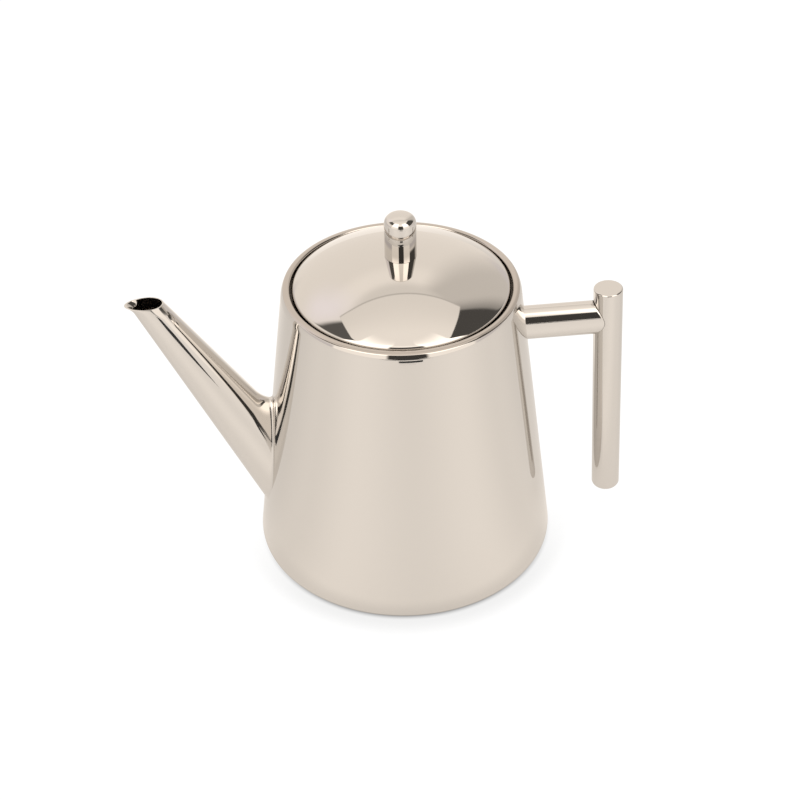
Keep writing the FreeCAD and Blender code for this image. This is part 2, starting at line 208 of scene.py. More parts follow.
def bridge(bm: Mesh, low: Ring, high: Ring, material: int = 0) -> None:
    """Adds the faces between two rings of points, either of which may be a single point.

    Args:
        bm: The mesh.
        low: First ring.
        high: Second ring.
        material: Number of the faces' material.
    """
    count = max(len(low), len(high))
    for k in range(count if count > 1 else 0):
        after = (k + 1) % count
        ends = [low[k % len(low)], low[after % len(low)], high[after % len(high)], high[k % len(high)]]
        bm.faces.new(list(dict.fromkeys(ends))).material_index = material


def turned_mesh(outline: list[Point], closed: bool, segments: int) -> Mesh:
    """Turns an outline once round the Z axis.

    Args:
        outline: Radius and height of each point.
        closed: Whether the last point joins the first.
        segments: Steps round the axis.

    Returns:
        The mesh in millimetres.
    """
    bm = bmesh.new()
    rings: list[Ring] = []
    for r, z in outline:
        angles = angles_round(segments) if r > TINY else [0.0]
        rings.append([bm.verts.new((r * cos(a), r * sin(a), z)) for a in angles])
    for low, high in zip(rings, rings[1:] + (rings[:1] if closed else [])):
        bridge(bm, low, high)
    return bm


def paint_faces(piece: Piece, choose: Callable[[Vector, Vector], int]) -> None:
    """Gives each face of a piece one of its materials.

    Args:
        piece: The piece.
        choose: Number of the material, from a face's centre in millimetres and its normal.
    """
    for face in piece.data.polygons:
        face.material_index = int(choose(face.center / MM, face.normal))


def inward(centre: Vector, normal: Vector) -> bool:
    """Whether a face looks towards the pot's axis."""
    return normal.x * centre.x + normal.y * centre.y < 0


# Shader node groups and finishes


class Nodes:
    """A node tree with short calls to add nodes and feed their inputs."""

    def __init__(self, tree: Tree) -> None:
        """Keeps the tree."""
        self.tree = tree

    def feed(self, value: object, end: Socket) -> None:
        """Joins a socket to an input, or sets the input to a plain value."""
        if isinstance(value, Socket):
            self.tree.links.new(value, end)
        else:
            end.default_value = value

    def add(self, kind: str, values: dict | None = None, **settings: object) -> bpy.types.Node:
        """Adds a node.

        Args:
            kind: Blender's name of the node type.
            values: Sockets or plain values for its inputs, by name or number.
            **settings: Properties of the node.

        Returns:
            The node.
        """
        node = self.tree.nodes.new(kind)
        for key, value in settings.items():
            setattr(node, key, value)
        self.fill(node, values or {})
        return node

    def fill(self, node: bpy.types.Node, values: dict) -> None:
        """Feeds several inputs of a node, by name or number."""
        for key, value in values.items():
            self.feed(value, node.inputs[key])

    def math(self, operation: str, *terms: object) -> Socket:
        """Adds a sum of sockets and numbers, named as Blender names it."""
        return self.add("ShaderNodeMath", dict(enumerate(terms)), operation=operation).outputs[0]

    def ramp(self, value: Socket, low: float, high: float, to_low: object, to_high: object) -> Socket:
        """Maps a value softly from one range to another, whose ends are sockets or numbers."""
        ends = {0: value, 1: low, 2: high, 3: to_low, 4: to_high}
        return self.add("ShaderNodeMapRange", ends, interpolation_type="SMOOTHSTEP").outputs[0]

    def steps(self, value: Socket, points: tuple[Point, ...], unit: float = 1.0) -> object:
        """Runs a value through a row of soft steps.

        Args:
            value: The socket.
            points: Places and the result at each.
            unit: Size of a place's unit.

        Returns:
            The result.
        """
        found: object = points[0][1]
        for (start, _), (end, result) in zip(points, points[1:]):
            found = self.ramp(value, start * unit, end * unit, found, result)
        return found

    def mix(self, share: Socket, first: object, second: object) -> Socket:
        """Blends two colours by a share."""
        return self.add("ShaderNodeMix", {0: share, 6: first, 7: second}, data_type="RGBA").outputs[2]

    def noise(self, place: Socket, scale: object, **values: float) -> Socket:
        """Adds a noise and gives its strength."""
        return self.add("ShaderNodeTexNoise", {"Vector": place, "Scale": scale, **values}).outputs["Fac"]

    def place(self, kind: str = "Object") -> Socket:
        """Gives the place on the surface."""
        return self.add("ShaderNodeTexCoord").outputs[kind]

    def split(self, kind: str = "Object") -> list[Socket]:
        """Gives the place on the surface along X, Y and Z."""
        return list(self.add("ShaderNodeSeparateXYZ", {0: self.place(kind)}).outputs)

    def distance(self, x: Socket, y: Socket) -> Socket:
        """Distance from the Z axis."""
        return self.math("SQRT", self.math("ADD", self.math("POWER", x, 2.0), self.math("POWER", y, 2.0)))

    def front_turn(self, x: Socket, y: Socket) -> Socket:
        """Degrees of turn from the front towards the handle."""
        return self.math("DEGREES", self.math("ARCTAN2", x, self.math("MULTIPLY", y, -1.0)))

    def unrolled(self, stretch: object) -> Socket:
        """The place unrolled round the Z axis, its turn shortened to a share, for lines round a piece."""
        x, y, z = self.split()
        turn = self.math("MULTIPLY", self.math("ARCTAN2", y, x), stretch)
        return self.add("ShaderNodeCombineXYZ", {0: turn, 1: self.distance(x, y), 2: z}).outputs[0]


def new_group(name: str, inputs: dict[str, object], outputs: dict[str, object]) -> tuple[Nodes, dict, dict]:
    """Starts a shader node group.

    Args:
        name: Name of the group.
        inputs: Inputs and their defaults, a number for a value and four numbers for a colour.
        outputs: Outputs in the same way.

    Returns:
        The nodes, the input sockets and the output sockets by name.
    """
    tree = bpy.data.node_groups.new(name, "ShaderNodeTree")
    for in_out, sockets in (("INPUT", inputs), ("OUTPUT", outputs)):
        for key, value in sockets.items():
            kind = "NodeSocketColor" if isinstance(value, tuple) else "NodeSocketFloat"
            tree.interface.new_socket(key, in_out=in_out, socket_type=kind).default_value = value
    nodes = Nodes(tree)
    start = nodes.add("NodeGroupInput")
    end = nodes.add("NodeGroupOutput")
    return nodes, {s.name: s for s in start.outputs}, {s.name: s for s in end.inputs}


def handling_group() -> Tree:
    """Group for the faint smears and wipe marks that hands and a cloth leave on polished steel.

    Returns:
        The group, whose Mask is high where the polish is duller and whose Shade is a soft tone change.
    """
    nodes, ins, outs = new_group("handling_marks", {"Scale": 40.0, "Spread": 0.5},
                                 {"Mask": 0.0, "Shade": 0.0})
    wide_share, low_share, span = 0.22, 0.36, 0.2
    place = nodes.place()
    smear = nodes.noise(place, ins["Scale"], Detail=3.0, Roughness=0.55, Distortion=0.8)
    wide = nodes.noise(place, nodes.math("MULTIPLY", ins["Scale"], wide_share), Detail=1.0)
    both = nodes.math("MULTIPLY", smear, wide)
    low = nodes.math("MULTIPLY", ins["Spread"], low_share)
    level = nodes.math("DIVIDE", nodes.math("SUBTRACT", both, low), span)
    nodes.feed(nodes.math("MINIMUM", nodes.math("MAXIMUM", level, 0.0), 1.0), outs["Mask"])
    nodes.feed(wide, outs["Shade"])
    return nodes.tree


def polish_group() -> Tree:
    """Group for what the polishing wheel leaves: hairlines round the piece and a faint sheet wave.

    Returns:
        The group, whose Lines are thin scratches and whose Height is for a Bump.
    """
    nodes, ins, outs = new_group("polish_lines", {"Fineness": 2600.0, "Wave": 18.0, "Wave share": 0.6},
                                 {"Lines": 0.0, "Height": 0.0})
    stretch, fine_share = 0.004, 0.004
    hair = nodes.noise(nodes.unrolled(stretch), ins["Fineness"], Detail=2.0, Roughness=0.7)
    nodes.feed(nodes.ramp(hair, 0.56, 0.74, 0.0, 1.0), outs["Lines"])
    wave = nodes.noise(nodes.place(), ins["Wave"], Detail=0.0)
    raised = nodes.math("MULTIPLY", wave, ins["Wave share"])
    fine = nodes.math("MULTIPLY", hair, nodes.math("SUBTRACT", 1.0, ins["Wave share"]))
    nodes.feed(nodes.math("ADD", raised, nodes.math("MULTIPLY", fine, fine_share)), outs["Height"])
    return nodes.tree


def grain_group() -> Tree:
    """Group for the grain of satin steel: short strokes round the axis.

    Returns:
        The group, whose Grain runs from 0 to 1.
    """
    nodes, ins, outs = new_group("satin_grain", {"Fineness": 1800.0, "Stretch": 0.02}, {"Grain": 0.0})
    grain = nodes.noise(nodes.unrolled(ins["Stretch"]), ins["Fineness"], Detail=3.0, Roughness=0.65)
    nodes.feed(nodes.ramp(grain, 0.3, 0.7, 0.0, 1.0), outs["Grain"])
    return nodes.tree


@dataclass
class Effects:
    """The shared node groups."""

    handling: Tree = field(default_factory=handling_group)
    polish: Tree = field(default_factory=polish_group)
    grain: Tree = field(default_factory=grain_group)


def new_material(name: str) -> tuple[Material, Nodes, bpy.types.Node]:
    """Makes a material, and gives it with its nodes and its shader."""
    made = bpy.data.materials.new(name)
    made.use_nodes = True
    return made, Nodes(made.node_tree), made.node_tree.nodes["Principled BSDF"]


@dataclass(frozen=True)
class PolishedSteel:
    """Mirror-polished, slightly warm steel."""

    name: str
    light: Triple = (0.680, 0.660, 0.635)
    dark: Triple = (0.660, 0.638, 0.610)
    smooth: float = 0.03
    dull: float = 0.075
    depth: float = 0.00002
    relief: float = 1.0
    smear_scale: float = 40.0
    wave: float = 18.0
    line_share: float = 0.25

    def surface(self, nodes: Nodes, effects: Effects) -> tuple[Socket, Socket, Socket]:
        """What varies over the surface.

        Args:
            nodes: The material's nodes.
            effects: The shared node groups.

        Returns:
            Share of the light tone, wear and height.
        """
        marks = nodes.add("ShaderNodeGroup", {"Scale": self.smear_scale}, node_tree=effects.handling).outputs
        polish = nodes.add("ShaderNodeGroup", {"Wave": self.wave}, node_tree=effects.polish).outputs
        worn = nodes.math("MULTIPLY_ADD", polish["Lines"], self.line_share, marks["Mask"])
        return marks["Shade"], worn, polish["Height"]

    def make(self, effects: Effects) -> Material:
        """Makes the material.

        Args:
            effects: The shared node groups.

        Returns:
            The material.
        """
        made, nodes, shader = new_material(self.name)
        tone, worn, height = self.surface(nodes, effects)
        relief = {"Strength": self.relief, "Distance": self.depth, "Height": height}
        colour = nodes.mix(tone, (*self.dark, 1.0), (*self.light, 1.0))
        rough = nodes.ramp(worn, 0.0, 1.0, self.smooth, self.dull)
        normal = nodes.add("ShaderNodeBump", relief).outputs["Normal"]
        nodes.fill(shader, {"Metallic": 1.0, "Base Color": colour, "Roughness": rough, "Normal": normal})
        return made


@dataclass(frozen=True)
class SatinSteel(PolishedSteel):
    """Satin steel with a turned grain."""

    light: Triple = (0.64, 0.60, 0.55)
    dark: Triple = (0.50, 0.465, 0.425)
    smooth: float = 0.24
    dull: float = 0.42
    relief: float = 0.5
    fineness: float = 1800.0
    stretch: float = 0.02
    grain_share: float = 0.5

    def surface(self, nodes: Nodes, effects: Effects) -> tuple[Socket, Socket, Socket]:
        """What varies over the surface.

        Args:
            nodes: The material's nodes.
            effects: The shared node groups.

        Returns:
            Share of the light tone, wear and height.
        """
        sizes = {"Fineness": self.fineness, "Stretch": self.stretch}
        grain = nodes.add("ShaderNodeGroup", sizes, node_tree=effects.grain).outputs["Grain"]
        shade = nodes.add("ShaderNodeGroup", node_tree=effects.handling).outputs["Shade"]
        part = nodes.math("MULTIPLY", grain, self.grain_share)
        return nodes.math("MULTIPLY_ADD", shade, 1 - self.grain_share, part), grain, grain


class Finishes:
    """All materials of the teapot."""

    def __init__(self) -> None:
        """Makes the shared groups and the materials."""
        effects = Effects()
        trim = {"smear_scale": 90.0, "wave": 40.0, "depth": 0.000004}
        # Darker, warmer steel for the ring's crown and the lip's inner side: painted shade that dims their
        # reflection.
        rim_painted_shade = PolishedSteel("polished_rim_painted_shade", (0.56, 0.522, 0.486), (0.52, 0.48, 0.441), **trim)
        self.body = PolishedSteel("polished_body").make(effects)
        self.small = PolishedSteel("polished_trim", **trim).make(effects)
        self.inside = SatinSteel("satin_inside").make(effects)
        self.rim_painted_shade = rim_painted_shade.make(effects)
        self.channel = SatinSteel("satin_channel", (0.62, 0.55, 0.49), (0.50, 0.44, 0.39)).make(effects)
        # Near-black steel: painted shade on the ledge under the lid's edge and along the arm's joint with the
        # bar.
        self.painted_shade = SatinSteel("painted_shade_recess", (0.09, 0.08, 0.07), (0.05, 0.045, 0.04)).make(effects)
        self.under = SatinSteel("satin_under", fineness=1100.0, stretch=0.012, depth=0.00004).make(effects)
        self.fixing = SatinSteel("satin_fixing", smooth=0.18, dull=0.32, fineness=3000.0).make(effects)


class Dresser:
    """Puts finished pieces on their bodies."""

    def __init__(self, nodes: dict[str, Piece]) -> None:
        """Keeps the frame's nodes."""
        self.nodes = nodes

    def dress(self, piece: Piece, body: Body, node: str, *materials: Material,
              slot: Slot = Slot.POLISHED) -> None:
        """Dresses a new piece that stands for a node.

        Args:
            piece: The piece.
            body: Body that it rides on.
            node: Node that it replaces.
            *materials: Its materials in order.
            slot: Material slot of the record; not used.
        """
        for material in materials:
            piece.data.materials.append(material)
        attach(piece, body.value)
        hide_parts(node)
        LOG.info("%s: %d faces, replaces %s", piece.name, len(piece.data.polygons), node)

    def keep(self, node: str, material: Material) -> None:
        """Gives a node of the frame its finish.

        Args:
            node: The node.
            material: Its material.
        """
        piece = self.nodes[node]
        piece.data.materials.clear()
        piece.data.materials.append(material)
        LOG.info("%s: kept, %s", node, material.name)


# Sub-assemblies


@dataclass
class Spout:
    """Straight oval spout with a flared root and a pouring lip."""

    wall: "PotBody"
    root_height: float = 46.9
    rise: float = 60.6
    root_half_height: float = 14.1
    tip_half_height: float = 6.0
    root_half_width: float = 12.1
    tip_half_width: float = 5.1
    sheet: float = 0.8
    drop: float = 0.4
    flare_radius: float = 8.5
    flare_fade: int = 8
    lip_radius: float = 7.0
    lip_depth: float = 3.7
    egg: float = 0.1
    edge_round: float = 0.14
    edge_steps: int = 6
    tip_thin: float = 0.4
    mouth_polish: int = 14
    weld_reach: float = 1.6
    weld_bite: float = 0.03
    weld_steps: int = 6
    bite: float = 0.4
    start_room: float = 5.0
    seam_reach: float = 0.8
    probe: float = 0.01
    along: int = 120
    around: int = 96

    def __post_init__(self) -> None:
        """Works out the two outlines."""
        rise = radians(self.rise)
        self.cut = self.wall.height - self.drop
        self.root = self.wall.radius(self.root_height)
        self.tip = self.root + (self.cut - self.root_height) / tan(rise)
        outs = [h * sin(rise) for h in (self.root_half_height, self.tip_half_height)]
        ups = [h * cos(rise) for h in (self.root_half_height, self.tip_half_height)]
        self.upper_start = (self.root - outs[0], self.root_height + ups[0])
        self.lower_start = (self.root + outs[0], self.root_height - ups[0])
        span = self.tip - self.root
        rise_by = self.cut - self.root_height
        self.upper_slope = (rise_by + ups[1] - ups[0]) / (span - outs[1] + outs[0])
        self.lower_slope = (rise_by - ups[1] + ups[0]) / (span + outs[1] - outs[0])
        lean = tan(self.wall.slant)
        turn = atan(self.upper_slope)
        reach = self.flare_radius * sin(turn)
        base = self.upper_start[1] - self.upper_slope * self.upper_start[0]
        level = base + self.upper_slope * (self.wall.base_radius + reach)
        level -= self.flare_radius * (1 - cos(turn))
        self.flare_level = level / (1 + self.upper_slope * lean)
        self.flare_end = self.wall.radius(self.flare_level)
        self.flare_start = self.flare_end + reach
        lead = self.lower_start[0] - self.lower_start[1] / self.lower_slope
        self.foot_end = self.wall.radius((self.wall.base_radius - lead) / (1 / self.lower_slope + lean))
        turn = atan(self.lower_slope)
        lip_height = self.cut - self.lip_depth
        self.lip_start = self.lower_start[0] + (lip_height - self.lower_start[1]) / self.lower_slope
        self.lip_centre = self.lip_start + self.lip_radius * sin(turn)
        self.lip_base = lip_height - self.lip_radius * cos(turn)
        self.angles = angles_round(self.around)

    def lift(self, out: float) -> Point:
        """How far the flare lifts the upper outline, and its slope with the flare."""
        if out >= self.flare_start:
            return 0.0, self.upper_slope
        along = max(out - self.flare_end, 0.0)
        drop = sqrt(self.flare_radius ** 2 - along ** 2)
        return self.flare_level + self.flare_radius - drop - self.upper(out)[0], along / drop

    def upper(self, out: float) -> Point:
        """Height and slope of the upper outline, without its flare, at a distance from the pot's axis."""
        return self.upper_start[1] + self.upper_slope * (out - self.upper_start[0]), self.upper_slope

    def lower(self, out: float) -> Point:
        """Height and slope of the lower outline at a distance from the pot's axis."""
        if out <= self.lip_start:
            return self.lower_start[1] + self.lower_slope * (out - self.lower_start[0]), self.lower_slope
        along = min(out - self.lip_centre, 0.0)
        drop = sqrt(self.lip_radius ** 2 - along ** 2)
        return self.lip_base + drop, -along / drop

    def half_width(self, out: float) -> float:
        """Half of the spout's width at a distance from the pot's axis."""
        share = (out - self.root) / (self.tip - self.root)
        return self.root_half_width + share * (self.tip_half_width - self.root_half_width)

    def ends(self, inset: float) -> Point:
        """Where the two outlines of the outer or inner surface end at the mouth.

        Args:
            inset: Thickness that the surface is set in by at the root.

        Returns:
            Distances from the pot's axis on the upper and the lower outline.
        """
        thin = inset * (1 - self.tip_thin)
        top = self.cut - self.edge_round

        def reach(line: Callable[[float], Point], sign: int) -> float:
            """Where one outline, set in, reaches the top."""
            return crossing(self.flare_start, self.lip_centre - TINY,
                            lambda out: line(out)[0] + sign * thin * hypot(1, line(out)[1]) < top)

        return reach(self.upper, -1), reach(self.lower, 1)

    def place(self, share: float, angle: float, inset: float, ends: Point) -> Vector:
        """A point of the spout's surface.

        Args:
            share: How far along, from inside the wall to the mouth.
            angle: Angle round the section, 0 on the upper outline.
            inset: Thickness that the surface is set in by.
            ends: Where the outlines end at the mouth.

        Returns:
            The point in millimetres.
        """
        starts = (self.flare_end - self.start_room, self.foot_end - self.start_room)
        out_up, out_low = (start + share * (end - start) for start, end in zip(starts, ends))
        lift, top_slope = self.lift(out_up)
        bottom, bottom_slope = self.lower(out_low)
        peak = Vector((-out_up, 0, self.upper(out_up)[0] + lift - inset * hypot(1, top_slope)))
        foot = Vector((-out_low, 0, bottom + inset * hypot(1, bottom_slope)))
        flare = (peak - foot) * (lift / (peak.z - foot.z)) if lift else Vector()
        crest = peak - flare
        widest = crest.lerp(foot, 0.5 - self.egg * share ** 2)
        half = sqrt(self.half_width(out_up) * self.half_width(out_low)) - inset
        bend = cos(angle)
        raised = flare * max(bend, 0.0) ** self.flare_fade
        across = Vector((0, half * sin(angle), 0))
        return widest.lerp(crest if bend > 0 else foot, abs(bend)) + raised + across

    def starts(self, inset: float, bite: float, beyond: float) -> list[float]:
        """How far along each line of a surface starts.

        Args:
            inset: Thickness that the surface is set in by.
            bite: Depth inside the wall at which its seam lies.
            beyond: Distance of the start from the seam.

        Returns:
            One share per line.
        """
        ends = self.ends(inset)

        def inside(share: float, angle: float) -> bool:
            """Whether a point of the surface lies deeper than the seam."""
            p = self.place(share, angle, inset, ends)
            return hypot(p.x, p.y) < self.wall.radius(p.z) - bite

        found = []
        for angle in self.angles:
            share = crossing(0.0, self.seam_reach, lambda middle: inside(middle, angle))
            here, ahead = (self.place(s, angle, inset, ends) for s in (share, share + self.probe))
            found.append(share + self.probe * beyond / (ahead - here).length)
        return found

    def seam(self, inset: float, bite: float) -> list[Vector]:
        """Line round the root at some depth inside the wall."""
        ends = self.ends(inset)
        lines = zip(self.starts(inset, bite, 0.0), self.angles)
        return [self.place(share, angle, inset, ends) for share, angle in lines]

    def skin(self, bm: Mesh, inset: float, bite: float, beyond: float) -> list[Ring]:
        """Adds the points of the outer or inner surface, ring by ring.

        Args:
            bm: The mesh.
            inset: Thickness that the surface is set in by.
            bite: Depth inside the wall at which its seam lies.
            beyond: Distance of the first ring from the seam.

        Returns:
            The rings, from the wall to the mouth.
        """
        ends = self.ends(inset)
        starts = self.starts(inset, bite, beyond)
        rings = []
        for j in range(self.along + 1):
            share = j / self.along
            eased = (share + share * share * (3 - 2 * share)) / 2
            ring = []
            for start, angle in zip(starts, self.angles):
                along = start + (1 - start) * eased
                ring.append(bm.verts.new(self.place(along, angle, inset * (1 - self.tip_thin * along), ends)))
            rings.append(ring)
        return rings

    def weld(self, bm: Mesh, first: Ring) -> list[Ring]:
        """Adds the small hollow that blends the root into the wall.

        Args:
            bm: The mesh.
            first: First ring of the outer surface.

        Returns:
            The new rings, from the wall to the first ring.
        """
        corners = self.seam(0.0, 0.0)
        middle = sum(corners, Vector()) / len(corners)
        lean = self.wall.slant
        on_wall = []
        for k, corner in enumerate(corners):
            beside = (corners[(k + 1) % len(corners)] - corners[k - 1]).normalized()
            out = Vector((corner.x, corner.y, 0)).normalized()
            facing = out * cos(lean) + Vector((0, 0, sin(lean)))
            away = beside.cross(facing).normalized()
            place = corner + away * copysign(self.weld_reach, away.dot(corner - middle))
            place.xy = place.xy.normalized() * (self.wall.radius(place.z) - self.weld_bite)
            on_wall.append(place)
        rings = []
        for i in range(self.weld_steps):
            u = i / self.weld_steps
            rings.append([
                bm.verts.new(a * (1 - u) ** 2 + b * (2 * u * (1 - u)) + c.co * u * u)
                for a, b, c in zip(on_wall, corners, first)
            ])
        return rings

    def build(self) -> Piece:
        """Builds the tube.

        Returns:
            The spout, whose second material is for its inside.
        """
        bm = bmesh.new()
        outer = self.skin(bm, 0.0, 0.0, self.weld_reach)
        inner = self.skin(bm, self.sheet, self.bite, 0.0)
        rings = self.weld(bm, outer[0]) + outer
        for i in range(1, self.edge_steps):
            turn = pi * i / self.edge_steps
            across = (1 - cos(turn)) / 2
            rise = Vector((0, 0, self.edge_round * sin(turn)))
            rings.append([bm.verts.new(a.co.lerp(b.co, across) + rise) for a, b in zip(outer[-1], inner[-1])])
        polished = len(rings) - 1 + self.mouth_polish
        rings += inner[::-1] + rings[:1]
        for j, (low, high) in enumerate(zip(rings, rings[1:])):
            bridge(bm, low, high, int(j > polished))
        return add_piece("spout_tube", bm)

    def dress(self, dresser: Dresser, finishes: Finishes) -> None:
        """Builds and dresses the spout and its strainer."""
        dresser.dress(self.build(), Body.POT, "spout", finishes.small, finishes.channel)
        dresser.keep("spout_strainer", finishes.inside)


@dataclass
class PotBody:
    """Tapered wall, bottom and mouth ring."""

    base_radius: float = 65.0
    height: float = 127.0
    lean: float = 7.14
    sheet: float = 0.8
    foot_round: float = 1.2
    row_start: float = 0.3
    ring_depth: float = 4.6
    shoulder_bends: tuple[Point, ...] = ((8.0, 28.0), (0.75, 60.0))
    ring_width: float = 3.4
    lip_round: float = 1.0
    ledge_depth: float = 5.0
    ledge_width: float = 4.0
    ledge_hem: float = 2.4
    crown_slope: float = 0.7
    recess_depth: float = 1.0
    recess_room: float = 0.2
    inside_corner: Point = (0.9, 2.2)
    rows: int = 90
    segments: int = 256

    def __post_init__(self) -> None:
        """Works out the shared heights and radii."""
        self.slant = radians(self.lean)
        self.ring_seam = self.height - self.ring_depth
        self.ledge_top = self.height - self.ledge_depth
        self.ring_inner = self.radius(self.height) - self.ring_width
        self.ledge_inner = self.ring_inner - self.ledge_width

    def radius(self, height: float) -> float:
        """Outer radius of the wall at a height."""
        return self.base_radius - height * tan(self.slant)

    def inner(self, height: float) -> float:
        """Inner radius of the wall at a height."""
        return self.radius(height) - self.sheet / cos(self.slant)

    def wall_outline(self) -> list[Point]:
        """Outline of the wall, with rows of points up both sides."""
        lean = self.slant
        butt = self.base_radius - self.foot_round / tan((pi / 2 - lean) / 2)
        corner = (butt, self.foot_round)
        outer = arc_points(corner, self.foot_round, -pi / 2, lean)
        inner = arc_points(corner, self.foot_round - self.sheet, lean, -pi / 2)
        low = outer[-1][1] + self.row_start
        heights = [low + (self.ring_seam - low) * i / self.rows for i in range(self.rows + 1)]
        line = [(butt, 0.0)] + outer[1:]
        line += [(self.radius(z), z) for z in heights]
        line += [(self.inner(z), z) for z in reversed(heights)]
        return line + inner[:-1] + [(butt, self.sheet)]

    def build_wall(self, opening: list[Point]) -> Piece:
        """Builds the wall, open to the spout.

        Args:
            opening: Outline of the opening, seen along X.

        Returns:
            The wall, whose second material is for its inside.
        """
        bm = turned_mesh(self.wall_outline(), True, self.segments)

        def within(vert: bmesh.types.BMVert) -> bool:
            """Whether a point of the wall lies in the opening."""
            if vert.co.x > 0:
                return False
            odd = False
            for (y0, z0), (y1, z1) in zip(opening, opening[1:] + opening[:1]):
                if (z0 > vert.co.z) != (z1 > vert.co.z):
                    odd ^= vert.co.y < y0 + (vert.co.z - z0) * (y1 - y0) / (z1 - z0)
            return odd

        gone = {v for v in bm.verts if within(v)}
        bmesh.ops.delete(bm, geom=[f for f in bm.faces if all(v in gone for v in f.verts)], context="FACES")
        bmesh.ops.bridge_loops(bm, edges=[e for e in bm.edges if e.is_boundary])
        return add_piece("pot_wall", bm)

    def shoulder(self) -> list[Point]:
        """Outline of the ring's outside, from the wall over the shoulder to the lip.

        Returns:
            Points from the seam to the lip's inner side, with the top's bend fitted to the ring's width.
        """
        lean = self.slant
        turns = [lean] + [radians(end) for _, end in self.shoulder_bends]
        spans = [(r, a, b) for (r, _), a, b in zip(self.shoulder_bends, turns, turns[1:])]
        rise = sum(r * (sin(b) - sin(a)) for r, a, b in spans)
        run = sum(r * (cos(a) - cos(b)) for r, a, b in spans)
        last = turns[-1]
        room = self.ring_width - self.lip_round + rise * tan(lean) - run
        top_bend = room / (cos(last) - (1 - sin(last)) * tan(lean))
        spans += [(top_bend, last, pi / 2), (self.lip_round, pi / 2, pi)]
        up = self.height - rise - top_bend * (1 - sin(last))
        out = self.radius(up)
        line = [(self.radius(self.ring_seam), self.ring_seam)]
        for r, a, b in spans:
            line += arc_points((out - r * cos(a), up - r * sin(a)), r, a, b, 4.0)
            out, up = line[-1]
        return line

    def build_ring(self) -> Piece:
        """Builds the mouth ring.

        Returns:
            The ring, whose second material is the darker steel of its crown, painted shade that dims its
            reflection, and third the near-black painted shade of the ledge under the lid.
        """
        top_in = self.height - self.sheet
        ledge_in = self.ledge_top - self.sheet
        hem_end = self.ledge_top - self.ledge_hem
        inside = rounded_outline([
            (self.ring_inner, self.ledge_top, 0),
            (self.ledge_inner, self.ledge_top, self.sheet),
            (self.ledge_inner, hem_end, 0),
            (self.ledge_inner + self.sheet, hem_end, 0),
            (self.ledge_inner + self.sheet, ledge_in, 0),
            (self.ring_inner + self.sheet, ledge_in, self.sheet),
            (self.ring_inner + self.sheet, top_in, self.lip_round - self.sheet),
            (self.inner(top_in) - self.inside_corner[0], top_in, 0),
            (self.inner(top_in), top_in - self.inside_corner[1], 0),
            (self.inner(self.ring_seam), self.ring_seam, 0),
        ], 6.0)
        outline = with_support(self.shoulder() + inside, True)
        return add_piece("pot_mouth_ring", turned_mesh(outline, True, self.segments))

    def ring_finish(self, centre: Vector, normal: Vector) -> int:
        """Number of the material of one of the ring's faces; the darker crown steel and the near-black ledge are
        both painted shade.
        """
        within = hypot(*centre.xy) < self.ring_inner + self.recess_room
        # The ledge and hem under the lid's edge take the near-black painted shade.
        if within and centre.z < self.ledge_top + self.recess_depth:
            return 2
        # The up-facing crown and the lip's inner side take the darker steel, painted shade.
        return int(within or normal.z > self.crown_slope)

    def dress(self, dresser: Dresser, finishes: Finishes, spout: Spout) -> None:
        """Builds and dresses the wall, ring and bottom."""
        wall = self.build_wall([(p.y, p.z) for p in spout.seam(spout.sheet / 2, spout.bite)])
        paint_faces(wall, inward)
        dresser.dress(wall, Body.POT, "body_wall", finishes.body, finishes.inside)
        ring = self.build_ring()
        paint_faces(ring, self.ring_finish)
        dresser.dress(ring, Body.POT, "mouth_ring", finishes.small, finishes.rim_painted_shade, finishes.painted_shade)
        dresser.keep("base_disc", finishes.under)


